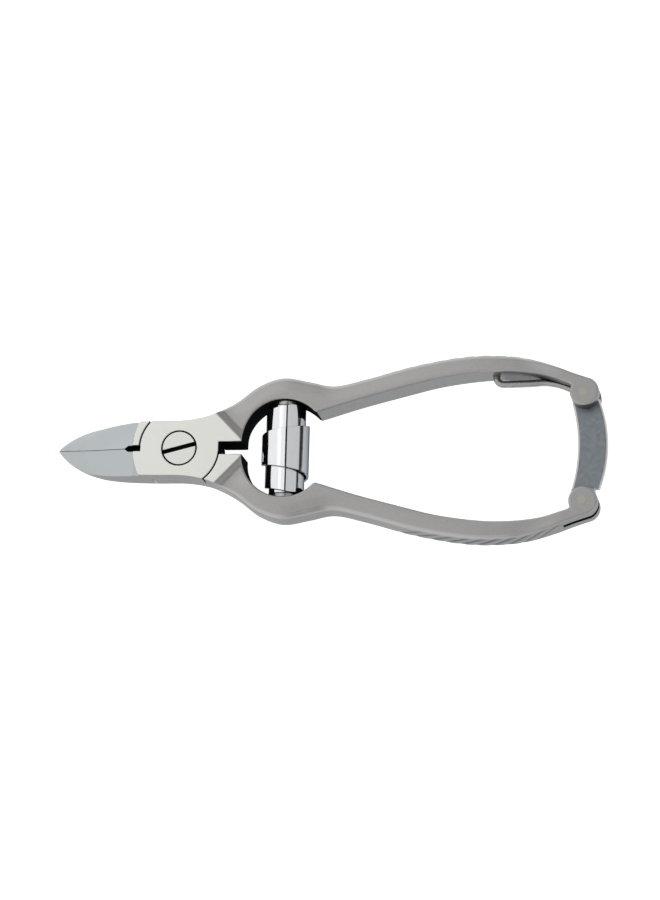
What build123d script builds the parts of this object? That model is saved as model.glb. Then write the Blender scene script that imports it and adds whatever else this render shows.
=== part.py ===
# Toenail nipper with a barrel spring and a lock at the handle ends.
# Millimetres. Origin on the pivot axis, on the underside the tool lies on.
# +X runs from the jaws to the handle ends, +Z is up, the jaws are closed along Y = 0.
from build123d import *
import os
from math import cos, radians, sin

os.makedirs("parts", exist_ok=True)

# Overall
THICK = 10.4                 # lever thickness, face to face
MID = THICK / 2              # height of the lap plane, the spring axis and the lock plate
TIP_X = -31.8                # jaw tip
HALF_JOINT = 6.9             # half width of the joint at the pivot
BOWL_APEX = 18.2             # outermost Y of the finger bowls
HANDLE_APEX = 23.8           # outermost Y of the handles
LUG_X = 102.45               # centre of the round handle ends
FAR = 300.0                  # larger than the tool, for bodies that only cut
PAST = 1.0                   # how far a cutter runs past the surface it cuts

# Jaws
JAW_START = -12.0            # the ground jaw faces begin here
JAW_HALF = 6.6

# Lap joint
SEAM_R = 10.35               # arc the far side of each seam follows
SEAM_GAP = 0.3               # width of the seam
LAP_GAP = 0.05               # gap between the two plates
JAW_GAP = 0.03               # gap between the closed edges
RELIEF_END = -14.2           # pointed end of the relief hole behind the edges
RELIEF_START = -10.6
RELIEF_HALF = 0.75
RELIEF_TAPER = 1.6           # length of the pointed end
NOTCH_Y = 1.6                # half gap between the shanks

# Pivot screw
HEAD_R = 4.2
HEAD_GAP = 0.3
HEAD_DEEP = 2.4
SHANK_R = 2.6
SHANK_FIT = 0.04             # running clearance in the upper plate
THREAD_R = 2.2
PRESS = 0.005                # interference of pressed and threaded pieces
SCREW_END = 1.2              # height where the blind screw hole ends
SLOT_W = 1.1
SLOT_DEEP = 1.1
SLOT_ANGLE = 14.7

# Finger bowls
BOWL_X = 26.7
BOWL_Y = 1.9
BOWL_R = 10.65
BOWL_MID_RIGHT = 70.0        # a point on each half of the bowl's arc, above +X
BOWL_MID_LEFT = 135.0

# Handles
CORNER_X = 35.3              # where bowl and inner handle edge meet
CORNER_Y = 9.2
CORNER_CUT = 1.0             # X length of the short flat that breaks the corner
OUTER_SLOPE = 0.04           # slope of the outer edge where the jaws begin
OUTER_ROUND = 1.1            # rounding of the outer long edges
EDGE_BREAK = 0.3             # small chamfer of the inner long edges
ROUND_START = 14.0           # the ground joint face ends and the rounding starts
ROUND_END = 98.0
OUTER_LONG = 80              # the outer long edges are longer than this, the inner ones shorter
INNER_LONG = 40

# Fork ends
LUG_Y = 13.95
LUG_R = 3.65
LUG_TOP = 62.0               # where the outer edge runs into the round end, above +X
LUG_IN = 153.0               # where the inner edge runs into it
NECK_X = 95.75               # circle that carries the rounding from handle to fork end
NECK_Y = 14.4
NECK_R = 6.0
BAR_INSET = 0.05             # the rounded bar lies just inside the sawn outline
PIN_X = 102.1
PIN_Y = 13.7
PIN_R = 1.1
PIN_FIT = 0.05               # running clearance of the lock lever on its pin
FORK_GAP = 2.4
FORK_START = 91.3            # the slot starts here at the inner edge and later at the outer one
FORK_SLANT = 6.0

# Lock lever
PLATE_T = 2.1
HUB_R = 3.2
PLATE_INNER = [(99.2, 11.6), (100.7, 1.0), (99.1, -10.6)]
PLATE_OUTER = [(105.2, 14.6), (108.2, 0.9), (106.3, -10.2)]
HOOK_GAP = 0.2               # play between hook and catch pin
HOOK_SLOPE = 30.0            # fall of the claw's top face towards its open side
HOOK_WALL = 1.3
HOOK_REACH = 1.9
NECK_EXTRA = 0.5
HOOK_LAP = 0.5               # the hook's shank reaches this far up into the plate
HOOK_DROP = 1.0              # height lost at the outer corner of the claw

# Barrel spring
STRIP_T = 0.62
SPRING_R = 6.55
TURN_STEP = 1.02             # radius lost per turn
TURNS = 3
SPRING_HALF = 11.3
SPRING_LOW = 5.95            # the strip's outer end is cut off at this depth below the axis
OUTER_HALF = 2.1             # half width of the strip where it starts
HALF_STEP = 5.9              # half width gained per turn

# Spring studs
COLLAR_R = 3.9
COLLAR_T = 1.2
PEG_R = 2.3
PEG_LONG = 3.2
TAIL_R = 1.5
TAIL_LONG = 3.0
SEAT_PLAY = 0.05

# Lock spring wire
WIRE_R = 0.9
WIRE_X = 79.9
WIRE_DEEP = 1.6              # metal left outside the wire's hole
WIRE_ROOT = 1.0              # added to that metal: the handle is not at its widest there
WIRE_RISE = 0.4              # the wire climbs this much on its way to the fork
WIRE_HOLE = 12.0             # length of the drill, longer than the handle is wide there
WIRE_Y = 17.0
WIRE_BEND = 1.8
WIRE_GAP = 0.3               # from the hub to the middle of the wire's end
WIRE_MEET = 32.0             # where the wire bears on the hub, above -X

# Grip grooves
GRIP_COUNT = 9
GRIP_FIRST = 58.7
GRIP_PITCH = 3.9
GRIP_R = 1.5
GRIP_DEEP = 0.45
GRIP_LEAN = -38.0

OUTER_JAW = [(JAW_START, JAW_HALF), (-6.0, 6.8), (0, HALF_JOINT)]
OUTER_REAR = [
    (4.3, 7.6), (8.4, 8.75), (14.5, 12.2), (20.0, 16.2), (26.0, BOWL_APEX), (32.8, 17.2),
    (38.9, 16.05), (47.1, 17.75), (59.3, 21.1), (71.5, 23.3), (79.7, HANDLE_APEX), (87.8, 22.85),
    (95.9, 20.4), (99.5, 19.0),
]
INNER_REAR = [
    (96.6, 16.8), (92.5, 18.0), (87.9, 18.8), (82.3, 19.2), (76.6, 19.05),
    (65.9, 17.6), (56.2, 15.2), (45.4, 12.25), (CORNER_X, CORNER_Y),
]
# Each row: X, half width, outer upper edge, outer lower edge, foot of the hollow, cutting edge, hollow's top
JAW_ROWS = [
    (JAW_START, JAW_HALF, THICK, 0, 0.8, THICK, 0.6),
    (-16.6, 6.3, THICK - 3.0, 0, 4.2, THICK - 1.4, THICK - 2.6),
    (-20.9, 5.7, THICK - 4.7, 0.2, 4.5, THICK - 2.1, THICK - 3.0),
    (-25.0, 4.9, THICK - 5.6, 3.2, 4.0, THICK - 2.8, THICK - 3.6),
    (-29.0, 2.7, THICK - 4.9, 4.9, 2.2, THICK - 3.1, THICK - 3.8),
    (TIP_X, 0.25, THICK - 3.4, 6.6, 0.2, THICK - 3.2, THICK - 3.7),
]


def cylinder_z(x, y, radius, low, high):
    return Pos(x, y, low) * Cylinder(radius, high - low, align=(Align.CENTER, Align.CENTER, Align.MIN))


def cylinder_y(radius, low, high):
    body = Cylinder(radius, high - low, align=(Align.CENTER, Align.CENTER, Align.MIN))
    return Pos(BOWL_X, low, MID) * Rot(-90, 0, 0) * body


def turned(shape):
    """The other lever's place: half a turn about the tool's long axis."""
    return Pos(0, 0, MID) * Rot(180, 0, 0) * Pos(0, 0, -MID) * shape


def on_lug(angle):
    return (LUG_X + LUG_R * cos(radians(angle)), LUG_Y + LUG_R * sin(radians(angle)))


def on_bowl(angle):
    return (BOWL_X + BOWL_R * cos(radians(angle)), BOWL_Y + BOWL_R * sin(radians(angle)))


def outer_edge():
    into_lug = (sin(radians(LUG_TOP)), -cos(radians(LUG_TOP)))
    return Spline(*OUTER_JAW, *OUTER_REAR, on_lug(LUG_TOP), tangents=[(1.0, OUTER_SLOPE), into_lug])


def half_outline():
    """Everything above Y = 0: half the jaws and joint, one shank, bowl and handle."""
    outer = outer_edge()
    end = ThreePointArc(outer @ 1, on_lug((LUG_TOP + LUG_IN - 360) / 2), on_lug(LUG_IN))
    inner = Spline(on_lug(LUG_IN), *INNER_REAR)
    rise = (BOWL_R**2 - (CORNER_X - CORNER_CUT - BOWL_X) ** 2) ** 0.5
    corner = (CORNER_X - CORNER_CUT, BOWL_Y + rise)
    cut = Line(inner @ 1, corner)
    left = BOWL_X - (BOWL_R**2 - (NOTCH_Y - BOWL_Y) ** 2) ** 0.5
    top = (BOWL_X, BOWL_Y + BOWL_R)
    first = ThreePointArc(corner, on_bowl(BOWL_MID_RIGHT), top)
    second = ThreePointArc(top, on_bowl(BOWL_MID_LEFT), (left, NOTCH_Y))
    shank = Polyline((left, NOTCH_Y), (SEAM_R - SEAM_GAP, NOTCH_Y), (SEAM_R - SEAM_GAP, 0), (JAW_START, 0),
                     (JAW_START, JAW_HALF))
    return make_face(Curve() + [outer, end, inner, cut, first, second, shank])


def slab(face, low, high):
    return Pos(0, 0, low) * extrude(face, high - low, dir=(0, 0, 1))


def relief_hole():
    line = Polyline((RELIEF_START, RELIEF_HALF), (RELIEF_END + RELIEF_TAPER, RELIEF_HALF), (RELIEF_END, 0),
                    (RELIEF_END + RELIEF_TAPER, -RELIEF_HALF), (RELIEF_START, -RELIEF_HALF), close=True)
    return slab(make_face(line), -PAST, THICK + PAST)


def jaw_section(row, side):
    """One cut across a jaw: sloping top, outer wall, foot and hollow inner side."""
    x, half, upper, lower, foot, edge, hollow = row
    inner = JAW_GAP / 2
    points = [(inner, edge), (half, upper), (half, lower), (foot, lower), (inner, hollow)]
    return make_face(Polyline(*[(x, side * y, z) for y, z in points], close=True))


def jaw(side):
    body = Part()
    for near, far in zip(JAW_ROWS, JAW_ROWS[1:]):
        body += loft([jaw_section(near, side), jaw_section(far, side)], ruled=True)
    return body


def long_edges(body, shortest):
    """The edges of the two flat faces that are longer than the given length."""
    def flat(edge):
        return abs((edge @ 0.5).Z - MID) > MID - 0.01 and edge.length > shortest
    return body.edges().filter_by(flat)


def between(body, low, high):
    """The part of a body between two X positions."""
    return body & Pos(low, 0, 0) * Box(high - low, FAR, FAR, align=(Align.MIN, Align.CENTER, Align.CENTER))


def end_bar():
    """A rounded bar that gives the fork end its round edges."""
    end_circle = Pos(LUG_X, LUG_Y) * Circle(LUG_R - BAR_INSET)
    neck_circle = Pos(NECK_X, NECK_Y) * Circle(NECK_R - BAR_INSET)
    hull = make_hull(end_circle.edges() + neck_circle.edges())
    bar = slab(hull, 0, THICK)
    return fillet(long_edges(bar, 1), OUTER_ROUND)


def handle_solid():
    """Shank, bowl and handle, with rounded outer and broken inner long edges."""
    body = slab(half_outline(), 0, THICK)
    front = between(body, 0, ROUND_START)
    middle = fillet(long_edges(between(body, ROUND_START, ROUND_END), OUTER_LONG), OUTER_ROUND)
    inner = long_edges(middle, INNER_LONG).filter_by(lambda edge: edge.length < OUTER_LONG)
    middle = Part() + chamfer(inner, EDGE_BREAK)
    end = between(body, ROUND_END, 2 * ROUND_END) & end_bar()
    return front + middle + end


def grip_grooves():
    """Leaning grooves across the outer side of a handle."""
    outer = outer_edge()
    cutters = []
    for number in range(GRIP_COUNT):
        x = GRIP_FIRST + GRIP_PITCH * number
        line = Line((x, 0), (x, FAR))
        spot = outer.intersect(line)
        y = spot.vertices()[0].Y if spot.vertices() else spot.center().Y
        rod = Cylinder(GRIP_R, 2 * THICK)
        cutters.append(Pos(x, y - GRIP_DEEP + GRIP_R, MID) * Rot(0, GRIP_LEAN, 0) * rod)
    return cutters


def fork_slot():
    """The slot both fork cheeks leave for the lock lever; its end is cut on a slant."""
    low = (FORK_START, 0)
    bend = (FORK_START, LUG_Y + LUG_R)
    slant = (FORK_START + FORK_SLANT, LUG_Y + 2 * LUG_R)
    outline = Polyline(low, bend, slant, (FAR, slant[1]), (FAR, 0), close=True)
    return slab(make_face(outline), MID - FORK_GAP / 2, MID + FORK_GAP / 2)


def lever_blank():
    """The lever that holds the upper handle, the upper plate and the lower jaw."""
    upper = half_outline()
    lower = mirror(upper, about=Plane.XZ)
    plate_disc = cylinder_z(0, 0, SEAM_R - SEAM_GAP, 0, THICK)
    seam_disc = cylinder_z(0, 0, SEAM_R, -PAST, MID + LAP_GAP / 2)
    left = Box(FAR, FAR, FAR, align=(Align.MAX, Align.CENTER, Align.CENTER))
    other_side = Pos(0, -JAW_GAP / 2, 0) * Box(FAR, FAR, FAR, align=(Align.CENTER, Align.MIN, Align.CENTER))
    jaw_root = (slab(lower, 0, THICK) & left) - other_side
    plate = (slab(upper, 0, THICK) + slab(lower, 0, THICK)) & plate_disc
    body = (handle_solid() + jaw_root - seam_disc) + (plate - Box(FAR, FAR, THICK + LAP_GAP))
    pin_hole = cylinder_z(PIN_X, PIN_Y, PIN_R - PRESS, -PAST, THICK + PAST)
    seat = cylinder_y(COLLAR_R + SEAT_PLAY, SPRING_HALF + SEAT_PLAY, SPRING_HALF + COLLAR_T)
    tail = cylinder_y(TAIL_R - PRESS, SPRING_HALF, SPRING_HALF + COLLAR_T + TAIL_LONG)
    return body - fork_slot() - pin_hole - seat - tail - grip_grooves()


def upper_lever():
    body = lever_blank() + jaw(-1) - relief_hole()
    body -= cylinder_z(0, 0, SHANK_R + SHANK_FIT, 0, THICK + PAST)
    body -= cylinder_z(0, 0, HEAD_R + HEAD_GAP, THICK - HEAD_DEEP - LAP_GAP, THICK + PAST)
    hole = Pos(WIRE_X, HANDLE_APEX - WIRE_DEEP - WIRE_ROOT, MID) * Rot(90, 0, 0)
    return body - hole * Cylinder(WIRE_R - PRESS, WIRE_HOLE, align=(Align.CENTER, Align.CENTER, Align.MIN))


def lower_lever():
    body = turned(lever_blank()) + jaw(1) - relief_hole()
    return body - cylinder_z(0, 0, THREAD_R - PRESS, SCREW_END, THICK)


def pivot_screw():
    head = cylinder_z(0, 0, HEAD_R, THICK - HEAD_DEEP, THICK)
    slot = Pos(0, 0, THICK) * Rot(0, 0, SLOT_ANGLE) * Box(3 * HEAD_R, SLOT_W, 2 * SLOT_DEEP)
    shank = cylinder_z(0, 0, SHANK_R, MID, THICK - HEAD_DEEP)
    thread = cylinder_z(0, 0, THREAD_R, SCREW_END, MID)
    return head + shank + thread - slot


def spring_half_turn(number):
    """One half circle of the coiled strip, its edges sloping to follow the tapered blank."""
    step = TURN_STEP / 2
    first = SPRING_R - STRIP_T / 2 - number * step
    second = first - step
    up = 1 if number % 2 == 0 else -1
    radius = (first + second) / 2
    centre = up * (second - first) / 2
    ring = Circle(radius + STRIP_T / 2) - Circle(radius - STRIP_T / 2)
    half = Rectangle(FAR, FAR, align=(Align.MAX if up > 0 else Align.MIN, Align.CENTER))
    sector = (Pos(0, centre) * ring) & half
    start_half = OUTER_HALF + HALF_STEP * number / 2
    end_half = start_half + HALF_STEP / 2
    slope = (end_half - start_half) / (first + second)
    low = -up * (first + PAST)
    high = up * (second + PAST)
    edges = [(low, start_half - slope), (high, end_half + slope)]
    points = [(min(h, SPRING_HALF), z) for z, h in edges]
    if end_half > SPRING_HALF > start_half:
        kink = low + up * (PAST + (SPRING_HALF - start_half) / slope)
        points.insert(1, (SPRING_HALF, kink))
    outline = points + [(-h, z) for h, z in reversed(points)]
    side = Plane.YZ * make_face(Polyline(*outline, close=True))
    blank = Pos(-FAR / 2, 0, 0) * extrude(side, FAR, dir=(1, 0, 0))
    wall = Plane.XZ * sector
    strip = Pos(0, FAR / 2, 0) * extrude(wall, FAR, dir=(0, -1, 0))
    return strip & blank


def barrel_spring():
    coil = spring_half_turn(0)
    for number in range(1, 2 * TURNS):
        coil += spring_half_turn(number)
    coil &= Pos(0, 0, -SPRING_LOW) * Box(FAR, FAR, FAR, align=(Align.CENTER, Align.CENTER, Align.MIN))
    return Pos(BOWL_X, 0, MID) * coil


def upper_spring_stud():
    top = SPRING_HALF + COLLAR_T
    collar = cylinder_y(COLLAR_R, SPRING_HALF + SEAT_PLAY, top)
    peg = cylinder_y(PEG_R, SPRING_HALF - PEG_LONG, top)
    tail = cylinder_y(TAIL_R, SPRING_HALF, top + TAIL_LONG)
    return collar + peg + tail


def lock_lever():
    inner = ThreePointArc(*PLATE_INNER)
    foot = Line(PLATE_INNER[2], PLATE_OUTER[2])
    outer = ThreePointArc(*reversed(PLATE_OUTER))
    head = Line(PLATE_OUTER[0], PLATE_INNER[0])
    plate = make_face(Curve() + [inner, foot, outer, head])
    hub = Pos(PIN_X, PIN_Y) * Circle(HUB_R)
    seat = PIN_R + HOOK_GAP
    along = (-cos(radians(HOOK_SLOPE)), -sin(radians(HOOK_SLOPE)))
    touch = (PIN_X - seat * along[1], -PIN_Y + seat * along[0])
    claw_tip = (touch[0] + HOOK_REACH * along[0], touch[1] + HOOK_REACH * along[1])
    claw_low = (claw_tip[0] - HOOK_WALL * along[1], claw_tip[1] + HOOK_WALL * along[0])
    shank_in = PIN_X + seat
    shank_out = shank_in + HOOK_WALL + NECK_EXTRA
    hook = Polyline((shank_in, PLATE_INNER[2][1] + HOOK_LAP), (shank_in, -PIN_Y), touch, claw_tip, claw_low,
                    (shank_out, -PIN_Y - HOOK_DROP), (shank_out, PLATE_INNER[2][1] + HOOK_LAP), close=True)
    flat = plate + hub + make_face(hook) - Pos(PIN_X, -PIN_Y) * Circle(seat)
    flat -= Pos(PIN_X, PIN_Y) * Circle(PIN_R + PIN_FIT)
    return slab(flat, MID - PLATE_T / 2, MID + PLATE_T / 2)


def lock_spring():
    reach = HUB_R + WIRE_GAP
    end = (PIN_X - reach * cos(radians(WIRE_MEET)), PIN_Y + reach * sin(radians(WIRE_MEET)))
    root = (WIRE_X, HANDLE_APEX - WIRE_DEEP - WIRE_ROOT)
    points = [root, (WIRE_X, WIRE_Y), (FORK_START + PAST, WIRE_Y + WIRE_RISE), end]
    path = Pos(0, 0, MID) * FilletPolyline(*points, radius=WIRE_BEND)
    start = Plane(origin=path @ 0, z_dir=path % 0)
    return sweep(start * Circle(WIRE_R), path=path)


def lock_pin():
    return cylinder_z(PIN_X, PIN_Y, PIN_R, 0, THICK)


def main():
    export_step(upper_lever(), "parts/upper_lever.step")
    export_step(lower_lever(), "parts/lower_lever.step")
    export_step(pivot_screw(), "parts/pivot_screw.step")
    export_step(barrel_spring(), "parts/barrel_spring.step")
    export_step(upper_spring_stud(), "parts/upper_spring_stud.step")
    export_step(turned(upper_spring_stud()), "parts/lower_spring_stud.step")
    export_step(lock_lever(), "parts/lock_lever.step")
    export_step(lock_spring(), "parts/lock_spring.step")
    export_step(lock_pin(), "parts/lock_hinge_pin.step")
    export_step(turned(lock_pin()), "parts/lock_catch_pin.step")


main()
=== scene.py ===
import bpy
import math
import numpy as np
from mathutils import Matrix, Vector


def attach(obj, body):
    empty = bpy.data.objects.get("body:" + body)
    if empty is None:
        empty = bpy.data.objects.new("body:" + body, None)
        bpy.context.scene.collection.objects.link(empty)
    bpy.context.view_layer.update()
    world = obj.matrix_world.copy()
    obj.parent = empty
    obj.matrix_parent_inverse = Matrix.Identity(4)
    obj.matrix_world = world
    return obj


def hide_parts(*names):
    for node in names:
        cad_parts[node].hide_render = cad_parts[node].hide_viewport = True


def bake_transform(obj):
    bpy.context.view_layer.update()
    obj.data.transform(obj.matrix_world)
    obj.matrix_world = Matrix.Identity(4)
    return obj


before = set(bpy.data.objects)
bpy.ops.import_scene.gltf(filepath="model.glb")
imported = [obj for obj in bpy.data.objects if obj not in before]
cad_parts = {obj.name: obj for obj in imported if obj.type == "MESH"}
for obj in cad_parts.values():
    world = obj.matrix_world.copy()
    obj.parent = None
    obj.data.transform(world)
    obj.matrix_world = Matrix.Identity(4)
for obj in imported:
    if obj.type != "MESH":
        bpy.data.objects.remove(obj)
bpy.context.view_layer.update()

MM = 0.001

# Sizes in millimetres; the round seam is narrower here than in the CAD
THICK = 10.4
MID = THICK / 2
SEAM_R = 10.35
SEAM_GAP = 0.26
SEAM_CLOSE = 0.17
LAP_GAP = 0.16
JAW_GAP = 0.06
NOTCH_Y = 1.6
BOWL = (26.7, 1.9, 10.65)
LUG = (102.45, 13.95, 3.65)
PIN = (102.1, 13.7, 1.1)
SPRING_X = 26.7
HEAD_R = 4.2
HEAD_GAP = 0.33
HEAD_HALF = 1.2
SEAT_DEEP = 2.45
SHANK_R = 2.2
SHANK_END = 1.2
BORE_R = 2.7
SLOT_ANGLE = math.radians(14.7)
SLOT_X = 91.3
SLOT_LEAN = 2.6
SLOT_BEND = 17.6
SLOT_RUN = 0.819
SLOT_HALF = 1.2
# Edge between the ground joint face and the handles: direction across it, and distance from the pivot
EDGE_X, EDGE_Y, EDGE_AT = 0.719, 0.694, 12.78
# Rear edge of the jaws, which bows towards the pivot on both sides
JAW_END = -12.0
JAW_BOW = 1.2
JAW_BOW_AT = 6.0
# Grooves of the grips
GRIP_FIRST = 58.7
GRIP_PITCH = 3.9
GRIP_COUNT = 10
GRIP_LEAN = 0.85
GRIP_HALF = 3.9
GRIP_DEEP = 0.5
GRIP_SHADE = 1.6
# Lock lever and its wire
HUB_R = 3.2
HUB_PLAY = 0.06
CATCH_PLAY = 0.2
LOCK_HALF = 1.05
WIRE_X = 79.9
WIRE_R = 0.9
WIRE_HOLE_R = 0.95
WIRE_FOOT = 21.2
WIRE_BEND = 1.8
WIRE_GAP = 0.3

OUTER = [(-31.8, 0), (-31.2, 0.8), (-29.0, 2.95), (-25.0, 5.15), (-20.9, 6.05), (-16.6, 6.6),
         (-12.0, 6.9), (-6.0, 7.05), (0, 7.1), (4.3, 7.6), (8.4, 8.75), (14.5, 12.25), (20.0, 16.3),
         (26.0, 18.3), (32.8, 17.25), (38.9, 16.1), (47.1, 17.8), (59.3, 21.15), (71.5, 23.35),
         (79.7, 23.7), (87.8, 22.85), (95.9, 20.15), (99.5, 18.75)]
INNER = [(96.6, 16.7), (92.5, 18.0), (87.9, 18.75), (82.3, 19.1), (76.6, 18.95), (65.9, 17.5),
         (56.2, 15.1),
         (45.4, 12.2), (36.2, 9.35)]


# ---------------------------------------------------------------- shapes as distance fields

def catmull(points, per=14):
    """A smooth line through the points."""
    p = np.array(points, float)
    p = np.vstack([2 * p[0] - p[1], p, 2 * p[-1] - p[-2]])
    out = []
    for a, b, c, d in zip(p[:-3], p[1:-2], p[2:-1], p[3:]):
        ta = 0.0
        tb = ta + np.linalg.norm(b - a) ** 0.5
        tc = tb + np.linalg.norm(c - b) ** 0.5
        td = tc + np.linalg.norm(d - c) ** 0.5
        for t in np.linspace(tb, tc, per, endpoint=False):
            ab = a * (tb - t) / (tb - ta) + b * (t - ta) / (tb - ta)
            bc = b * (tc - t) / (tc - tb) + c * (t - tb) / (tc - tb)
            cd = c * (td - t) / (td - tc) + d * (t - tc) / (td - tc)
            abc = ab * (tc - t) / (tc - ta) + bc * (t - ta) / (tc - ta)
            bcd = bc * (td - t) / (td - tb) + cd * (t - tb) / (td - tb)
            out.append(abc * (tc - t) / (tc - tb) + bcd * (t - tb) / (tc - tb))
    out.append(np.array(points[-1], float))
    return np.array(out)


def arc(cx, cy, r, start, stop, count=40):
    a = np.radians(np.linspace(start, stop, count))
    return np.c_[cx + r * np.cos(a), cy + r * np.sin(a)]


def line_distance(x, y, line, closed=False):
    """Distance from every point to a polyline; signed, negative inside, if it is closed."""
    p = np.c_[x.ravel(), y.ravel()].astype(np.float32)
    best = np.full(len(p), 1e9, np.float32)
    inside = np.zeros(len(p), bool)
    ends = np.roll(line, -1, axis=0) if closed else line[1:]
    starts = line if closed else line[:-1]
    for a, b in zip(starts.astype(np.float32), ends.astype(np.float32)):
        ab = b - a
        ap = p - a
        length = max(float(ab @ ab), 1e-12)
        t = np.clip((ap @ ab) / length, 0, 1)
        dx = ap[:, 0] - t * ab[0]
        dy = ap[:, 1] - t * ab[1]
        best = np.minimum(best, dx * dx + dy * dy)
        if closed:
            cross = (a[1] > p[:, 1]) != (b[1] > p[:, 1])
            if cross.any():
                at = a[0] + (p[:, 1] - a[1]) * ab[0] / (ab[1] if abs(ab[1]) > 1e-12 else 1e-12)
                inside ^= cross & (p[:, 0] < at)
    d = np.sqrt(best)
    if closed:
        d = np.where(inside, -d, d)
    return d.reshape(x.shape)


class Field:
    """A function of X and Y kept on a fine grid and read between its points."""

    def __init__(self, x0, x1, y0, y1, step, line, closed):
        self.o = (x0, y0)
        self.step = step
        gx = np.arange(x0, x1 + step, step, dtype=np.float32)
        gy = np.arange(y0, y1 + step, step, dtype=np.float32)
        self.v = line_distance(*np.meshgrid(gx, gy, indexing="ij"), line, closed)

    def __call__(self, x, y):
        u = np.clip((x - self.o[0]) / self.step, 0, self.v.shape[0] - 1.001)
        w = np.clip((y - self.o[1]) / self.step, 0, self.v.shape[1] - 1.001)
        i = u.astype(int)
        j = w.astype(int)
        u = u - i
        w = w - j
        v = self.v
        return ((1 - u) * ((1 - w) * v[i, j] + w * v[i, j + 1])
                + u * ((1 - w) * v[i + 1, j] + w * v[i + 1, j + 1]))


def smooth(a, b, t):
    t = np.clip((t - a) / (b - a), 0, 1)
    return t * t * (3 - 2 * t)


def both(a, b, r):
    """Inside both, with the edge between them rounded to radius r."""
    return (np.minimum(np.maximum(a, b), -r)
            + np.sqrt(np.maximum(a + r, 0) ** 2 + np.maximum(b + r, 0) ** 2))


def without(a, b, r):
    """Inside a and outside b, with a rounded edge."""
    return both(a, -b, r)


def surface(name, value, lo, hi, step, mat, shade=None):
    """A closed mesh on the zero surface of value(x, y, z), with its true normals."""
    axes = [np.arange(l, h + step, step, dtype=np.float32) for l, h in zip(lo, hi)]
    v = value(axes[0][:, None, None], axes[1][None, :, None], axes[2][None, None, :]).astype(np.float32)
    v = np.broadcast_to(v, tuple(len(a) for a in axes)).copy()
    neg = v < 0
    shape = np.array(v.shape)
    cells = np.zeros(shape - 1, bool)
    count = np.zeros(shape - 1, np.float32)
    total = np.zeros(tuple(shape - 1) + (3,), np.float32)
    corner = [(a, b, c) for a in (0, 1) for b in (0, 1) for c in (0, 1)]

    def part(arr, o):
        return arr[tuple(slice(k, n - 1 + k) for k, n in zip(o, arr.shape))]

    for a in corner:
        for axis in range(3):
            if a[axis]:
                continue
            b = list(a)
            b[axis] = 1
            va = part(v, a)
            vb = part(v, b)
            hit = part(neg, a) != part(neg, b)
            t = np.where(hit, va / np.where(hit, va - vb, 1), 0)
            for k in range(3):
                total[..., k] += np.where(hit, a[k] + (t if k == axis else 0), 0)
            count += hit
            cells |= hit
    index = np.full(cells.shape, -1, np.int64)
    index[cells] = np.arange(cells.sum())
    local = total[cells] / count[cells][:, None]
    pos = np.argwhere(cells) + local
    pos = np.array([a[0] for a in axes]) + pos * step
    faces = []
    for axis in range(3):
        o1, o2 = [k for k in range(3) if k != axis]
        sl = [slice(1, -1)] * 3
        sl[axis] = slice(0, -1)
        a = neg[tuple(sl)]
        sl2 = list(sl)
        sl2[axis] = slice(1, None)
        b = neg[tuple(sl2)]
        at = np.argwhere(a != b)
        first = a[tuple(at.T)]
        at[:, o1] += 1
        at[:, o2] += 1
        quad = []
        for d1, d2 in ((1, 1), (0, 1), (0, 0), (1, 0)):
            c = at.copy()
            c[:, o1] -= d1
            c[:, o2] -= d2
            quad.append(index[tuple(c.T)])
        quad = np.stack(quad, 1)
        turn = first if axis != 1 else ~first
        quad[~turn] = quad[~turn][:, ::-1]
        faces.append(quad)
    faces = np.vstack(faces)

    def at(p):
        return value(p[:, 0], p[:, 1], p[:, 2])

    def gradient(p, e):
        g = np.empty_like(p)
        for k in range(3):
            d = np.zeros(3)
            d[k] = e
            g[:, k] = (at(p + d) - at(p - d)) / (2 * e)
        return g

    pos = pos.astype(float)
    start = pos.copy()
    for _ in range(3):
        g = gradient(pos, 0.25 * step)
        n2 = np.maximum((g * g).sum(1), 0.25)
        move = g * (at(pos) / n2)[:, None]
        length = np.linalg.norm(move, axis=1, keepdims=True)
        pos = pos - move * np.minimum(1, 0.4 * step / np.maximum(length, 1e-9))
    off = pos - start
    length = np.linalg.norm(off, axis=1, keepdims=True)
    pos = start + off * np.minimum(1, 0.7 * step / np.maximum(length, 1e-9))
    g = gradient(pos, 0.3 * step)
    g /= np.maximum(np.linalg.norm(g, axis=1, keepdims=True), 1e-9)
    mesh = bpy.data.meshes.new(name)
    mesh.from_pydata((pos * MM).tolist(), [], faces.tolist())
    mesh.update()
    mesh.shade_smooth()
    mesh.normals_split_custom_set_from_vertices(g.tolist())
    if shade is not None:
        mark = mesh.attributes.new("shade", "FLOAT", "POINT")
        mark.data.foreach_set("value", shade(pos[:, 0], pos[:, 1], pos[:, 2]).astype(np.float32))
    mesh.materials.append(mat)
    obj = bpy.data.objects.new(name, mesh)
    bpy.context.scene.collection.objects.link(obj)
    return obj


# ---------------------------------------------------------------- materials

def new_material(name, color, rough, metal=1.0):
    mat = bpy.data.materials.new(name)
    mat.use_nodes = True
    bsdf = mat.node_tree.nodes["Principled BSDF"]
    bsdf.inputs["Base Color"].default_value = (*color, 1)
    bsdf.inputs["Metallic"].default_value = metal
    bsdf.inputs["Roughness"].default_value = rough
    return mat, bsdf


# painted shade: black for the gaps and hollows where shade falls
PAINTED_SHADE_BLACK = (0.008, 0.009, 0.010)
GRIP_AND_WIRE_SHADE_COLOR = (0.11, 0.115, 0.12)
LOCK_COLOR = (0.235, 0.26, 0.275)
LOCK_EDGE_HIGHLIGHT_COLOR = (0.62, 0.62, 0.61)
FLANK_SHADE_COLOR = (0.36, 0.38, 0.40)
EDGE_TINT = (0.62, 0.62, 0.62, 1)


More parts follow.
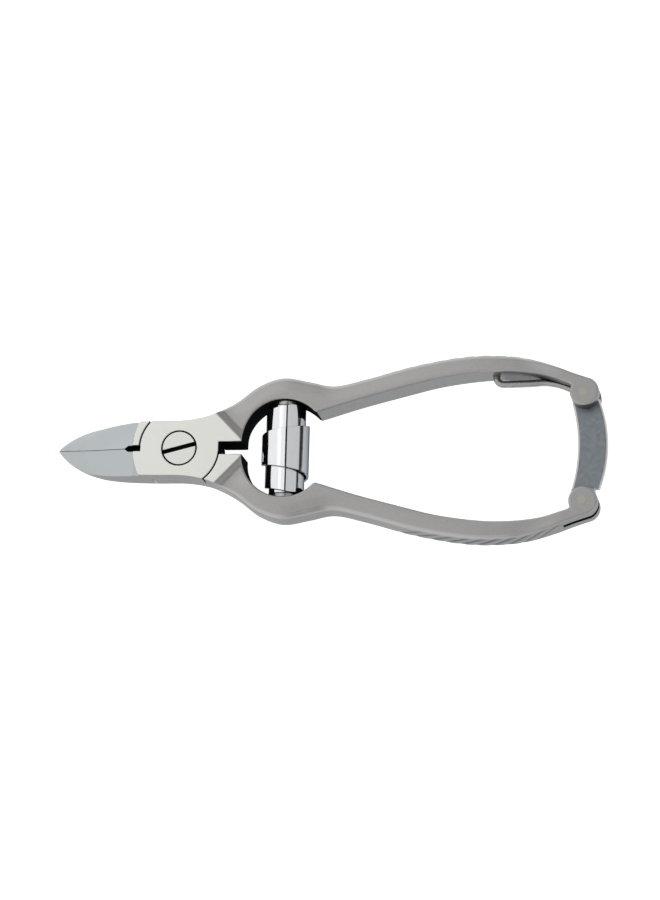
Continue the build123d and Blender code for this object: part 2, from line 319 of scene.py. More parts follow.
def brushed(name, color, rough, stretch, spread=0.06, bump=0.02, angle=0.0, tones=(0.93, 1.05)):
    """Satin metal: fine grain drawn out along one direction."""
    mat, bsdf = new_material(name, color, rough)
    bsdf.inputs["Specular Tint"].default_value = EDGE_TINT
    nodes = mat.node_tree.nodes
    links = mat.node_tree.links
    coord = nodes.new("ShaderNodeTexCoord")
    place = nodes.new("ShaderNodeMapping")
    place.inputs["Rotation"].default_value = (0, 0, angle)
    place.inputs["Scale"].default_value = stretch
    links.new(coord.outputs["Object"], place.inputs["Vector"])
    grain = nodes.new("ShaderNodeTexNoise")
    grain.inputs["Scale"].default_value = 1.0
    grain.inputs["Detail"].default_value = 4.0
    links.new(place.outputs["Vector"], grain.inputs["Vector"])
    band = nodes.new("ShaderNodeMapRange")
    band.inputs["From Min"].default_value = 0.3
    band.inputs["From Max"].default_value = 0.7
    band.inputs["To Min"].default_value = rough - spread
    band.inputs["To Max"].default_value = rough + spread
    links.new(grain.outputs["Fac"], band.inputs["Value"])
    links.new(band.outputs["Result"], bsdf.inputs["Roughness"])
    tone = nodes.new("ShaderNodeMapRange")
    tone.inputs["From Min"].default_value = 0.3
    tone.inputs["From Max"].default_value = 0.7
    tone.inputs["To Min"].default_value, tone.inputs["To Max"].default_value = tones
    links.new(grain.outputs["Fac"], tone.inputs["Value"])
    mix = nodes.new("ShaderNodeVectorMath")
    mix.operation = "SCALE"
    mix.inputs[0].default_value = color
    links.new(tone.outputs["Result"], mix.inputs["Scale"])
    links.new(mix.outputs["Vector"], bsdf.inputs["Base Color"])
    if bump:
        bumps = nodes.new("ShaderNodeBump")
        bumps.inputs["Strength"].default_value = bump
        bumps.inputs["Distance"].default_value = 0.0001
        links.new(grain.outputs["Fac"], bumps.inputs["Height"])
        links.new(bumps.outputs["Normal"], bsdf.inputs["Normal"])
    return mat


HANDLE_COLOR = (0.41, 0.40, 0.385)
WALL_SHADE_COLOR = (0.27, 0.275, 0.275)
WORN_COLOR = (0.35, 0.345, 0.33)
BEVEL_HIGHLIGHT_COLOR = (0.56, 0.56, 0.55)
JOINT_COLOR = (0.78, 0.78, 0.735)
JAW_COLOR = (0.50, 0.535, 0.54)
WIRE = brushed("Wire steel", (0.38, 0.375, 0.365), 0.28, (700, 3000, 3000), bump=0.02)
CHROME = brushed("Spring chrome", (0.86, 0.87, 0.88), 0.065, (2500, 500, 2500), spread=0.02, bump=0.0,
                 tones=(0.97, 1.02))
CHROME_EDGE = (0.15, 0.16, 0.18, 1)
CHROME.node_tree.nodes["Principled BSDF"].inputs["Specular Tint"].default_value = CHROME_EDGE
DARK = brushed("Stud steel", (0.42, 0.42, 0.41), 0.25, (3000, 900, 3000), bump=0.01)
PINS = brushed("Pin steel", (0.455, 0.42, 0.37), 0.34, (2500, 2500, 2500), bump=0.03)


class Masks:
    """Small node graph helper: masks between 0 and 1 made from place and direction."""

    def __init__(self, mat):
        self.nodes = mat.node_tree.nodes
        self.links = mat.node_tree.links
        self.bsdf = self.nodes["Principled BSDF"]
        coord = self.nodes.new("ShaderNodeTexCoord")
        self.x, self.y, self.z = self.split(coord.outputs["Object"])
        self.nx, self.ny, self.nz = self.split(coord.outputs["Normal"])

    def split(self, vector):
        n = self.nodes.new("ShaderNodeSeparateXYZ")
        self.links.new(vector, n.inputs["Vector"])
        return [n.outputs[k] for k in "XYZ"]

    def math(self, kind, a, b=0.0):
        """One operation on two sockets or numbers."""
        n = self.nodes.new("ShaderNodeMath")
        n.operation = kind
        for k, v in enumerate((a, b)):
            if isinstance(v, (int, float)):
                n.inputs[k].default_value = v
            else:
                self.links.new(v, n.inputs[k])
        return n.outputs[0]

    def above(self, value, at, width):
        n = self.nodes.new("ShaderNodeMapRange")
        n.inputs["From Min"].default_value = at - width
        n.inputs["From Max"].default_value = at + width
        self.links.new(value, n.inputs["Value"])
        return n.outputs["Result"]

    def below(self, value, at, width):
        return self.math("SUBTRACT", 1.0, self.above(value, at, width))

    def every(self, *masks):
        out = masks[0]
        for m in masks[1:]:
            out = self.math("MULTIPLY", out, m)
        return out

    def any(self, *masks):
        out = masks[0]
        for m in masks[1:]:
            out = self.math("MAXIMUM", out, m)
        return out

    def length(self, a, b):
        squares = self.math("ADD", self.math("MULTIPLY", a, a), self.math("MULTIPLY", b, b))
        return self.math("SQRT", squares)

    def color(self):
        return self.bsdf.inputs["Base Color"].links[0].from_socket

    def over(self, base, color, mask):
        n = self.nodes.new("ShaderNodeMix")
        n.data_type = "RGBA"
        self.links.new(mask, n.inputs["Factor"])
        self.links.new(base, n.inputs["A"])
        n.inputs["B"].default_value = (*color, 1)
        return n.outputs["Result"]

    def finish(self, color, dark):
        """Colour out; painted shade: the masked gaps and walls are painted black, and neither shine nor mirror.
        """
        self.links.new(self.over(color, PAINTED_SHADE_BLACK, dark), self.bsdf.inputs["Base Color"])
        self.links.new(self.math("SUBTRACT", 1.0, dark), self.bsdf.inputs["Metallic"])
        self.bsdf.inputs["Specular IOR Level"].default_value = 0.0


def lever_material(name):
    """Satin handles, a lighter ground joint face and blue-grey jaws; painted shade on the walls, grooves, gaps
    and bowl wall, and a painted highlight on the bevels.
    """
    mat = brushed(name, HANDLE_COLOR, 0.34, (900, 3500, 2500), bump=0.03)
    m = Masks(mat)
    x = m.x
    y = m.math("ABSOLUTE", m.y)
    face = m.above(m.math("ABSOLUTE", m.nz), 0.9, 0.05)
    wall = m.below(m.math("ABSOLUTE", m.nz), 0.55, 0.35)
    along = m.math("ADD", m.math("MULTIPLY", x, EDGE_X), m.math("MULTIPLY", y, EDGE_Y))
    handle = m.above(along, (EDGE_AT - 0.03) * MM, 0.12 * MM)
    curve = m.math("MULTIPLY", m.math("MULTIPLY", y, y), JAW_BOW / JAW_BOW_AT ** 2 / MM)
    cloud = m.nodes.new("ShaderNodeTexNoise")
    cloud.inputs["Scale"].default_value = 140.0
    cloud.inputs["Detail"].default_value = 3.0
    uneven = m.above(cloud.outputs["Fac"], 0.55, 0.2)
    jaw = m.below(m.math("SUBTRACT", x, curve), (JAW_END - 0.1) * MM, 0.12 * MM)
    ground = m.every(m.math("SUBTRACT", 1.0, handle), m.math("SUBTRACT", 1.0, jaw), face)
    out = m.over(m.color(), WORN_COLOR, m.every(uneven, 0.55))
    # painted highlight: the sloping band between the top face and the walls of the handles is painted lighter
    bevel = m.every(m.above(m.math("ABSOLUTE", m.nz), 0.62, 0.06),
                    m.below(m.math("ABSOLUTE", m.nz), 0.90, 0.04), handle)
    # painted shade: the side walls are painted darker than the top faces
    out = m.over(out, WALL_SHADE_COLOR, wall)
    out = m.over(out, BEVEL_HIGHLIGHT_COLOR, m.every(bevel, 0.5))
    # painted shade: the grip grooves and the stretch behind the wire are painted dark through the shade
    # attribute
    shade = m.nodes.new("ShaderNodeAttribute")
    shade.attribute_name = "shade"
    out = m.over(out, GRIP_AND_WIRE_SHADE_COLOR, shade.outputs["Fac"])
    out = m.over(out, JOINT_COLOR, ground)
    out = m.over(out, JAW_COLOR, m.every(jaw, m.math("SUBTRACT", 1.0, wall)))
    # painted shade: the wall of the finger bowl and the step beside it are painted black
    from_bowl = m.length(m.math("SUBTRACT", x, BOWL[0] * MM), m.math("SUBTRACT", y, BOWL[1] * MM))
    bowl = m.every(m.below(from_bowl, (BOWL[2] + 0.35) * MM, 0.1 * MM), wall)
    notch = m.every(m.below(y, (NOTCH_Y + 0.35) * MM, 0.05 * MM), m.above(x, 9.5 * MM, 0.1 * MM),
                    m.below(x, 17.5 * MM, 0.1 * MM), wall)
    # painted shade: the gaps (round seam of the lap joint, screw seat, relief hole and fork slot) are painted
    # black
    radius = m.length(m.x, m.y)
    turned_out = m.math("ADD", m.math("MULTIPLY", m.nx, m.x), m.math("MULTIPLY", m.ny, m.y))
    outward = m.math("DIVIDE", turned_out, radius)
    from_seam = m.math("ABSOLUTE", m.math("SUBTRACT", radius, SEAM_R * MM))
    seam = m.every(m.below(from_seam, 0.5 * MM, 0.02 * MM), m.above(m.math("ABSOLUTE", outward), 0.8, 0.05))
    seat = m.every(m.below(radius, (HEAD_R + 0.7) * MM, 0.02 * MM),
                   m.below(m.z, (THICK - 0.12) * MM, 0.04 * MM), m.above(m.z, 1.0 * MM, 0.04 * MM))
    relief = m.every(m.below(y, 1.1 * MM, 0.02 * MM), m.below(x, -9.7 * MM, 0.02 * MM),
                     m.above(x, -14.4 * MM, 0.02 * MM), wall)
    lift = m.math("ABSOLUTE", m.math("SUBTRACT", m.z, MID * MM))
    past_bend = m.math("MAXIMUM", m.math("SUBTRACT", y, SLOT_BEND * MM), 0.0)
    slant = m.math("SUBTRACT", m.math("MULTIPLY", m.math("SUBTRACT", x, SLOT_X * MM), SLOT_RUN),
                   m.math("MULTIPLY", past_bend, SLOT_LEAN))
    slot = m.every(m.below(lift, (SLOT_HALF + 0.07) * MM, 0.02 * MM), m.above(slant, -0.2 * MM, 0.05 * MM))
    # painted shade: every mask gathered here is painted black
    dark = m.any(bowl, notch, seam, seat, relief, slot)
    m.finish(out, dark)
    return mat


def screw_material():
    mat = brushed("Screw steel", JOINT_COLOR, 0.36, (800, 5000, 3000), bump=0.02, angle=0.6)
    m = Masks(mat)
    # painted shade: the screw below its top face is painted black, in the shade of its seat
    m.finish(m.color(), m.below(m.z, (THICK - 0.14) * MM, 0.04 * MM))
    return mat


def lock_material():
    """Dull blue-grey faces; the edges are ground, and their light colour is partly a painted highlight."""
    mat = brushed("Lock steel", LOCK_COLOR, 0.36, (900, 900, 900), spread=0.07, bump=0.02, tones=(0.84, 1.14))
    m = Masks(mat)
    # painted highlight on the ground edges, over their own lighter metal
    edge_highlight = m.below(m.math("ABSOLUTE", m.nz), 0.965, 0.02)
    m.links.new(m.over(m.color(), LOCK_EDGE_HIGHLIGHT_COLOR, edge_highlight), m.bsdf.inputs["Base Color"])
    return mat


def shade_flank(mat):
    """Painted shade: the strip's flank turned to +X is painted darker."""
    m = Masks(mat)
    m.links.new(m.over(m.color(), FLANK_SHADE_COLOR, m.above(m.nx, 0.76, 0.015)), m.bsdf.inputs["Base Color"])


shade_flank(CHROME)
LEVER_A = lever_material("Upper lever steel")
LEVER_B = lever_material("Lower lever steel")
SCREW = screw_material()
LOCK = lock_material()


# ---------------------------------------------------------------- levers

def on_lug(angle):
    a = math.radians(angle)
    return (LUG[0] + LUG[2] * math.cos(a), LUG[1] + LUG[2] * math.sin(a))


LUG_FROM, LUG_TO = 62.0, 153.0
BOWL_FROM = 44
OUT_LINE = catmull(OUTER + [on_lug(LUG_FROM)])
corner = (BOWL[0] + BOWL[2] * math.cos(math.radians(BOWL_FROM)),
          BOWL[1] + BOWL[2] * math.sin(math.radians(BOWL_FROM)))
left_angle = 180 + math.degrees(math.asin((BOWL[1] - NOTCH_Y) / BOWL[2]))
lug_arc = arc(*LUG, LUG_FROM, LUG_TO - 360, 60)[1:]
IN_LINE = np.vstack([catmull([on_lug(LUG_TO), (98.3, 16.15)] + INNER),
                     catmull([(36.2, 9.45), (35.1, 9.05), corner], 5)[1:],
                     arc(*BOWL, BOWL_FROM, left_angle, 90)[1:]])
PLAN = np.vstack([OUT_LINE, lug_arc, IN_LINE[1:],
                  [(SEAM_R - SEAM_GAP, NOTCH_Y), (SEAM_R - SEAM_GAP, -1.0), (OUTER[0][0], -1.0)]])
GRID = 0.125
HALF = Field(-33, 109, -10, 27, GRID, PLAN, True)
OUTSIDE = Field(-33, 109, -10, 27, GRID * 1.5, OUT_LINE, False)
INSIDE = Field(-33, 109, -10, 27, GRID * 1.5, IN_LINE, False)
RELIEF = np.array([(-10.0, 0.75), (-13.2, 0.75), (-14.2, 0.0), (-13.2, -0.75), (-10.0, -0.75)])
HOLE = Field(-16, -6, -4, 4, 0.05, RELIEF, True)

# The jaws at six places along X: half width, drop of the ridge and of the sides from the top face,
# height of the foot, and wall under the ridge
JAW_X = [-31.8, -29.0, -25.0, -20.9, -16.6, -12.0]
JAW_HALF = [0.3, 2.95, 5.15, 6.05, 6.6, 6.9]
JAW_RIDGE = [3.2, 3.05, 2.75, 2.1, 1.3, 0.35]
JAW_SIDE = [3.3, 4.7, 5.6, 4.7, 3.0, 1.3]
JAW_FOOT = [6.6, 4.9, 3.2, 0.2, 0.0, 0.0]
JAW_DEEP = [0.5, 0.7, 0.8, 0.9, 1.1, 9.6]


def jaw_heights(x, y):
    """Upper and lower faces of the jaws: a rounded roof above, a hollow below the edges."""
    half = np.interp(x, JAW_X, JAW_HALF)
    ridge = np.interp(x, JAW_X, JAW_RIDGE)
    fall = np.interp(x, JAW_X, JAW_SIDE) - ridge
    across = np.minimum(np.abs(y) / half, 1.2)
    roof = THICK - ridge - fall * (0.55 * across + 0.45 * across * across)
    edge = JAW_END + JAW_BOW * (y / JAW_BOW_AT) ** 2
    roof = np.where(x > edge, THICK + (x - edge) * 0.5, roof)
    foot = np.interp(x, JAW_X, JAW_FOOT)
    deep = np.interp(x, JAW_X, JAW_DEEP)
    hollow = THICK - ridge - deep - (THICK - ridge - deep - foot) * across / 0.78
    under = np.where(x < JAW_END, np.maximum(hollow, foot), -1.0)
    return roof, under


def grip(x, u, w):
    """Leaning lens-shaped grooves on the outer side: 1 in the middle of one, 0 outside."""
    lift = w - MID
    phase = (x + lift * GRIP_LEAN - GRIP_FIRST) / GRIP_PITCH
    number = np.round(phase)
    near_line = (phase - number) * GRIP_PITCH
    size = 1.0 - 0.35 * np.abs(number - (GRIP_COUNT - 1) / 2) / (GRIP_COUNT / 2)
    bite = np.clip(1 - (near_line / (1.1 * size + 0.15)) ** 2, 0, 1) * np.clip(1 - (lift / GRIP_HALF) ** 2, 0, 1)
    one_of_them = (number >= 0) & (number < GRIP_COUNT)
    return np.where(one_of_them, bite * size, 0.0) * (1 - smooth(0.8, 2.4, OUTSIDE(x, u)))


def wire_shade(x, u):
    """Painted shade on the stretch of the inner side behind the wire, and on the edge of the top face beside it.
    """
    return 0.8 * (1 - smooth(0.05, 0.35, INSIDE(x, u))) * smooth(80.5, 82.5, x) * (1 - smooth(95.0, 98.5, x))


def lever(x, y, z, second):
    """The upper lever, or the lower one, which is the same turned half a turn about X."""
    u, w = (-y, THICK - z) if second else (y, z)
    radius = np.sqrt(x * x + u * u)
    near = HALF(x, u)
    far = HALF(x, -u)
    handle = np.maximum(near, -x)
    jaw = np.maximum(np.maximum(far, u + JAW_GAP / 2), x)
    disc = radius - (SEAM_R - SEAM_GAP)
    plate = np.maximum(np.minimum(near, far), disc)
    outside = np.maximum(np.minimum(handle, jaw), SEAM_R - (0.0 if second else SEAM_CLOSE) - radius)
    top = np.minimum(np.minimum(handle, jaw), plate)
    # the handles' outer side is crowned, the joint and the inner side are nearly square
    lean = smooth(-1.6, 0.6, INSIDE(x, u) - OUTSIDE(x, u))
    fork = smooth(86.0, 97.0, x)
    joint_crown = 0.16
    handle_crown = (1.5 - 1.1 * fork) * lean + 0.45 * (1 - lean)
    crown = joint_crown + (handle_crown - joint_crown) * smooth(12.5, 19.0, x + 0.4 * np.abs(u))
    # the handles drop a little behind the ground joint face
    t = EDGE_X * x + EDGE_Y * np.abs(u) - EDGE_AT
    dip = 0.55 * smooth(0.0, 2.2, t) * (1 - 0.8 * smooth(2.6, 8.0, t)) * smooth(-0.5, 0.5, x) * (1 - fork)
    dome = 0.55 * smooth(1.5, 8.0, t) * smooth(4.2, 0.0, OUTSIDE(x, u)) * (1 - fork)
    mid = np.abs(w - MID) - (MID - dip - dome)
    whole = both(outside, mid, crown)
    lap = np.maximum(mid, MID + LAP_GAP / 2 - w)
    half = both(top, lap, crown)
    d = np.minimum(whole, half)
    d = d + GRIP_DEEP * grip(x, u, w)
    # fork slot, cut on a slant
    slant = SLOT_RUN * (x - SLOT_X) - SLOT_LEAN * np.maximum(u - SLOT_BEND, 0)
    d = without(d, np.maximum(np.abs(w - MID) - SLOT_HALF, -slant), 0.08)
    # relief hole behind the cutting edges
    d = without(d, HOLE(x, u), 0.08)
    if second:
        d = without(d, np.maximum(radius - SHANK_R, SHANK_END - z), 0.05)
    else:
        d = without(d, np.maximum(radius - HEAD_R - HEAD_GAP, THICK - SEAT_DEEP - z), 0.10)
        d = without(d, radius - BORE_R, 0.05)
        wire_hole = np.sqrt((x - WIRE_X) ** 2 + (w - MID) ** 2) - WIRE_HOLE_R
        d = without(d, np.maximum(wire_hole, u - WIRE_FOOT), 0.08)
    high, under = jaw_heights(x, u)
    d = both(d, (z - high) * np.where(x < JAW_END, 0.87, 1.0), 0.12)
    return both(d, (under - z) * np.where(x < JAW_END, 0.5, 1), 0.10)


STEP = 0.2
lever_a = surface("upper_forging", lambda x, y, z: lever(x, y, z, False),
                  (-32, -9.5, -0.9), (108, 25, 11.4), STEP, LEVER_A,
                  lambda x, y, z: np.maximum(GRIP_SHADE * grip(x, y, z), wire_shade(x, y)))
lever_b = surface("lower_forging", lambda x, y, z: lever(x, y, z, True),
                  (-32, -25, -0.9), (108, 9.5, 11.4), STEP, LEVER_B,
                  lambda x, y, z: GRIP_SHADE * grip(x, -y, THICK - z))
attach(lever_a, "upper")
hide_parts("upper_lever")
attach(lever_b, "lower")
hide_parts("lower_lever")


# ---------------------------------------------------------------- pivot screw

def screw(x, y, z):
    radius = np.sqrt(x * x + y * y)
    head = both(radius - HEAD_R, np.abs(z - (THICK - HEAD_HALF)) - HEAD_HALF, 0.10)
    shank = np.maximum(radius - SHANK_R, np.abs(z - 5.3) - 4.1)
    across = np.abs(-math.sin(SLOT_ANGLE) * x + math.cos(SLOT_ANGLE) * y)
    return without(np.minimum(head, shank), np.maximum(across - 0.55, THICK - 1.1 - z), 0.05)


pivot = surface("slotted_screw", screw, (-4.6, -4.6, 0.9), (4.6, 4.6, 10.7), 0.08, SCREW)
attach(pivot, "lower")
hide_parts("pivot_screw")


# ---------------------------------------------------------------- lock lever

def lock_plan():
    def through(a, b, c, count=40):
        a, b, c = (np.array(p, float) for p in (a, b, c))
        m = np.array([b - a, c - a]) * 2
        centre = np.linalg.solve(m, [b @ b - a @ a, c @ c - a @ a])
        r = np.linalg.norm(a - centre)
        t0, t1 = (math.atan2(*(p - centre)[::-1]) for p in (a, c))
        t1 += 2 * math.pi * round((t0 - t1) / (2 * math.pi))
        t = np.linspace(t0, t1, count)
        return np.c_[centre[0] + r * np.cos(t), centre[1] + r * np.sin(t)]

    inner = through((99.2, 11.6), (100.7, 1.0), (99.1, -10.6))
    outer = through((106.3, -10.2), (108.2, 0.9), (105.2, 14.6))
    return np.vstack([inner, outer])


def lock_hook():
    seat = PIN[2] + CATCH_PLAY
    along = np.array([-math.cos(math.radians(30)), -math.sin(math.radians(30))])
    touch = np.array([PIN[0] - seat * along[1], -PIN[1] + seat * along[0]])
    tip = touch + 1.9 * along
    under = tip + 1.3 * np.array([-along[1], along[0]])
    x0 = PIN[0] + seat
    x1 = x0 + 1.8
    return np.array([(x0, -9.5), (x0, -PIN[1]), touch, tip, under, (x1, -PIN[1] - 1.0), (x1, -9.5)])


PLATE = Field(96, 111, -20, 20, 0.08, lock_plan(), True)
HOOK = Field(96, 111, -20, 20, 0.08, lock_hook(), True)


def lock(x, y, z):
    from_hinge = np.sqrt((x - PIN[0]) ** 2 + (y - PIN[1]) ** 2)
    from_catch = np.sqrt((x - PIN[0]) ** 2 + (y + PIN[1]) ** 2)
    plan = np.minimum(np.minimum(PLATE(x, y), HOOK(x, y)), from_hinge - HUB_R)
    plan = np.maximum(plan, PIN[2] + HUB_PLAY - from_hinge)
    plan = np.maximum(plan, PIN[2] + CATCH_PLAY - from_catch)
    return both(plan, np.abs(z - MID) - LOCK_HALF, 0.6)


lock_obj = surface("lock_plate", lock, (98, -18, 3.6), (109, 17.6, 6.8), 0.13, LOCK)
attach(lock_obj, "lock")
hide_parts("lock_lever")


# ---------------------------------------------------------------- swept and turned pieces

def add_mesh(name, verts, faces, mat, smooth_angle=35):
    mesh = bpy.data.meshes.new(name)
    mesh.from_pydata([tuple(float(c) * MM for c in v) for v in verts], [], faces)
    mesh.validate()
    mesh.update()
    mesh.materials.append(mat)
    obj = bpy.data.objects.new(name, mesh)
    bpy.context.scene.collection.objects.link(obj)
    mesh.shade_smooth()
    mesh.set_sharp_from_angle(angle=math.radians(smooth_angle))
    return obj


def turned(name, profile, place, mat, count=72, smooth_angle=35):
    """A closed body turned from (radius, height) pairs; place maps (x, y, height) to the tool."""
    verts, faces = [], []
    for r, h in profile:
        for k in range(count):
            a = 2 * math.pi * k / count
            verts.append(place(r * math.cos(a), r * math.sin(a), h))
    for i in range(len(profile) - 1):
        for k in range(count):
            n = (k + 1) % count
            faces.append((i * count + k, i * count + n, (i + 1) * count + n, (i + 1) * count + k))
    faces.append(tuple(range(count))[::-1])
    faces.append(tuple(range((len(profile) - 1) * count, len(profile) * count)))
    return add_mesh(name, verts, faces, mat, smooth_angle)


for name, body, side, node in (("hinge_pin", "upper", 1, "lock_hinge_pin"),
                               ("catch_pin", "lower", -1, "lock_catch_pin")):
    r = PIN[2]
    outline = [(r - 0.07, -0.02), (r, 0.05), (r, THICK - 0.05), (r - 0.07, THICK + 0.02)]
    pin = turned(name, outline, lambda x, y, h, s=side: (PIN[0] + x, s * PIN[1] + y, h), PINS, 48, 20)
    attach(pin, body)
    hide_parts(node)

# A stud from its root in the bowl: root, flange with broken edges, peg inside the spring
STUD = [(1.5, 15.4), (1.5, 12.5), (3.75, 12.5), (3.9, 12.35), (3.9, 11.5), (3.75, 11.35), (2.3, 11.35),
        (2.3, 8.4), (2.0, 8.1)]
for name, body, side, node in (("upper_stud", "upper", 1, "upper_spring_stud"),
                               ("lower_stud", "lower", -1, "lower_spring_stud")):
    stud = turned(name, STUD, lambda x, y, h, s=side: (SPRING_X + s * x, s * h, MID + y), DARK, 64)
    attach(stud, body)
    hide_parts(node)


def barrel_spring():
    """A strip wound nearly three turns, widest inside, so that its ends step out from the middle."""
    thick = 0.62
    coil_r = 6.55 - thick / 2
    coil_step = 1.02
    end_half, widen, half_max = 2.1, 5.9, 11.3
    count = 480
    start, stop = 0.16, 3
    rows = 14
    bevel = 0.09

    def at_step(i):
        """Cosine and sine of the strip's direction, its radius and its half width."""
        s = start + (stop - start) * i / count
        angle = math.radians(270 - 360 * s)
        return math.cos(angle), math.sin(angle), coil_r - coil_step * s, min(end_half + widen * s, half_max)

    # one strip of surface per list: radial offset, height as a share of the half width, height offset,
    # and the radial and height parts of the normal
    strips = [
        [(thick / 2, -1 + 2 * k / rows, bevel * (1 if k == 0 else -1 if k == rows else 0), 1, 0)
         for k in range(rows + 1)],
        [(thick / 2, 1, -bevel, 1, 0), (thick / 2 - bevel, 1, 0, 0, 1)],
        [(thick / 2 - bevel, 1, 0, 0, 1), (-thick / 2 + bevel, 1, 0, 0, 1)],
        [(-thick / 2 + bevel, 1, 0, 0, 1), (-thick / 2, 1, -bevel, -1, 0)],
        [(-thick / 2, 1 - 2 * k / rows, bevel * (-1 if k == 0 else 1 if k == rows else 0), -1, 0)
         for k in range(rows + 1)],
        [(-thick / 2, -1, bevel, -1, 0), (-thick / 2 + bevel, -1, 0, 0, -1)],
        [(-thick / 2 + bevel, -1, 0, 0, -1), (thick / 2 - bevel, -1, 0, 0, -1)],
        [(thick / 2 - bevel, -1, 0, 0, -1), (thick / 2, -1, bevel, 1, 0)],
    ]
    verts, faces, normals = [], [], []
    for strip in strips:
        base = len(verts)
        wide = len(strip)
        for i in range(count + 1):
            ca, sa, r, half = at_step(i)
            for dr, t, dh, nr, nh in strip:
                verts.append((SPRING_X + (r + dr) * ca, t * half + dh, MID + (r + dr) * sa))
                normals.append((nr * ca, nh, nr * sa))
        for i in range(count):
            for k in range(wide - 1):
                a = base + i * wide + k
                faces.append((a, a + wide, a + wide + 1, a + 1))
    for i in (0, count):
        ca, sa, r, half = at_step(i)
        base = len(verts)
        for dr, t in ((thick / 2, -1), (thick / 2, 1), (-thick / 2, 1), (-thick / 2, -1)):
            verts.append((SPRING_X + (r + dr) * ca, t * half, MID + (r + dr) * sa))
            way = 1 if i == 0 else -1
            normals.append((way * -sa, 0, way * ca))
        faces.append((base, base + 1, base + 2, base + 3))
    mesh = bpy.data.meshes.new("spring_strip")
    mesh.from_pydata([tuple(c * MM for c in v) for v in verts], [], faces)
    mesh.update()
    mesh.shade_smooth()
    mesh.normals_split_custom_set_from_vertices(normals)
    mesh.materials.append(CHROME)
    obj = bpy.data.objects.new("spring_strip", mesh)
    bpy.context.scene.collection.objects.link(obj)
    return obj


spring = barrel_spring()
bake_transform(spring)
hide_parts("barrel_spring")


def wire():
    """Round wire out of the handle, along it and onto the hub."""
    reach = HUB_R + WIRE_GAP
    a = math.radians(32)
    end = (PIN[0] - reach * math.cos(a), PIN[1] + reach * math.sin(a))
    bend = arc(WIRE_X + WIRE_BEND, 17.0 + WIRE_BEND, WIRE_BEND, 180, 268, 12)
    run = catmull([(84.0, 17.02), (88.5, 17.15), (92.3, 17.35), (95.4, 16.9), end], 8)
    path = np.vstack([[(WIRE_X, 21.0), (WIRE_X, 19.6)], bend, run])
    r = WIRE_R
    sides = 20
    verts, faces = [], []
    tangent = np.gradient(path, axis=0)
    tangent /= np.linalg.norm(tangent, axis=1, keepdims=True)
    for p, t in zip(path, tangent):
        for k in range(sides):
            q = 2 * math.pi * k / sides
            verts.append((p[0] - t[1] * r * math.cos(q), p[1] + t[0] * r * math.cos(q), MID + r * math.sin(q)))
    for i in range(len(path) - 1):
        for k in range(sides):
            n = (k + 1) % sides
            faces.append((i * sides + k, i * sides + n, (i + 1) * sides + n, (i + 1) * sides + k))
    faces.append(tuple(range(sides))[::-1])
    faces.append(tuple(range((len(path) - 1) * sides, len(path) * sides)))
    return add_mesh("spring_wire", verts, faces, WIRE, 50)


wire_obj = wire()
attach(wire_obj, "upper")
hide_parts("lock_spring")


# ---------------------------------------------------------------- floor, light and camera

def emitter_plane(name, size, place, aim, power):
    light = bpy.data.lights.new(name, "AREA")
    light.shape = "RECTANGLE"
    light.size, light.size_y = size
    light.energy = power
    obj = bpy.data.objects.new(name, light)
    obj.location = place
    obj.rotation_mode = "QUATERNION"
    obj.rotation_quaternion = (Vector(aim) - Vector(place)).to_track_quat("-Z", "Y")
    bpy.context.scene.collection.objects.link(obj)
    return obj


# Floor, in metres from here on
FLOOR_HALF = 3.0
FLOOR_Z = -0.0014
FLOOR_GLOW = 0.88
floor_mesh = bpy.data.meshes.new("Floor")
floor_mesh.from_pydata([(FLOOR_HALF * a, FLOOR_HALF * b, 0) for a, b in ((-1, -1), (1, -1), (1, 1), (-1, 1))],
                       [], [(0, 1, 2, 3)])
floor = bpy.data.objects.new("Floor", floor_mesh)
floor.location = (0, 0, FLOOR_Z)
bpy.context.scene.collection.objects.link(floor)
white, white_bsdf = new_material("Floor white", (0.5, 0.5, 0.5), 0.9, 0.0)
white_bsdf.inputs["Emission Color"].default_value = (1, 1, 1, 1)
white_bsdf.inputs["Emission Strength"].default_value = FLOOR_GLOW
floor_mesh.materials.append(white)

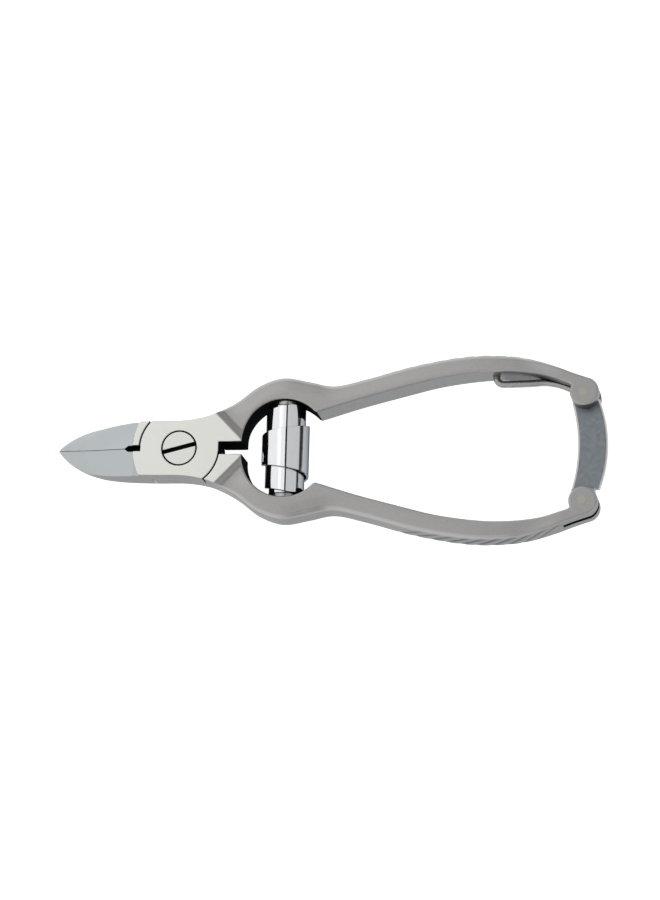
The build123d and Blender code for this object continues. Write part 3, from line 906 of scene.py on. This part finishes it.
world = bpy.data.worlds.new("World")
bpy.context.scene.world = world
world.use_nodes = True
wn = world.node_tree.nodes
wl = world.node_tree.links
back = wn["Background"]
wc = wn.new("ShaderNodeTexCoord")
ws = wn.new("ShaderNodeSeparateXYZ")
wl.new(wc.outputs["Generated"], ws.inputs["Vector"])
shift = wn.new("ShaderNodeMapRange")
shift.inputs["From Min"].default_value = -1.0
shift.inputs["From Max"].default_value = 1.0
wl.new(ws.outputs["X"], shift.inputs["Value"])
ramp = wn.new("ShaderNodeValToRGB")
# Light and dark bands from -X (0) to +X (1), as (place, level), for the polished spring to mirror
bands = [(0.0, 0.05), (0.006, 0.95), (0.512, 0.95), (0.525, 0.01), (0.583, 0.01), (0.596, 0.62),
         (0.965, 0.60), (0.98, 0.03)]
while len(ramp.color_ramp.elements) < len(bands):
    ramp.color_ramp.elements.new(0.5)
for item, (where, level) in zip(ramp.color_ramp.elements, bands):
    item.position = where
    item.color = (level, level, level * 1.01, 1)
wl.new(shift.outputs["Result"], ramp.inputs["Fac"])
wl.new(ramp.outputs["Color"], back.inputs["Color"])
back.inputs["Strength"].default_value = 1.0

emitter_plane("Key", (0.5, 0.35), (-0.30, 0.35, 0.75), (0.04, 0, 0), 0.12)
emitter_plane("Fill", (0.4, 0.4), (0.45, -0.35, 0.60), (0.04, 0, 0), 0.10)

CAMERA_ROLL = 0.0065
CAMERA_LENS = 159.1
CAMERA_FAR = 1.0
cam_data = bpy.data.cameras.new("Camera")
cam_data.sensor_width = 36
cam_data.lens = CAMERA_LENS
cam = bpy.data.objects.new("Camera", cam_data)
away = Vector((0.155, -0.225, 1.0)).normalized()
target = Vector((0.03865, -0.0008, 0.0104))
cam.location = target + away * CAMERA_FAR
right = (Vector((1, 0, 0)) - away * away.x).normalized()
up = away.cross(right)
right, up = right - up * CAMERA_ROLL, up + right * CAMERA_ROLL
cam.rotation_mode = "QUATERNION"
cam.rotation_quaternion = Matrix((right, up, away)).transposed().to_quaternion()
cam_data.clip_start = 0.05
cam_data.clip_end = 20
bpy.context.scene.collection.objects.link(cam)
bpy.context.scene.camera = cam
bpy.context.scene.view_settings.view_transform = "Standard"
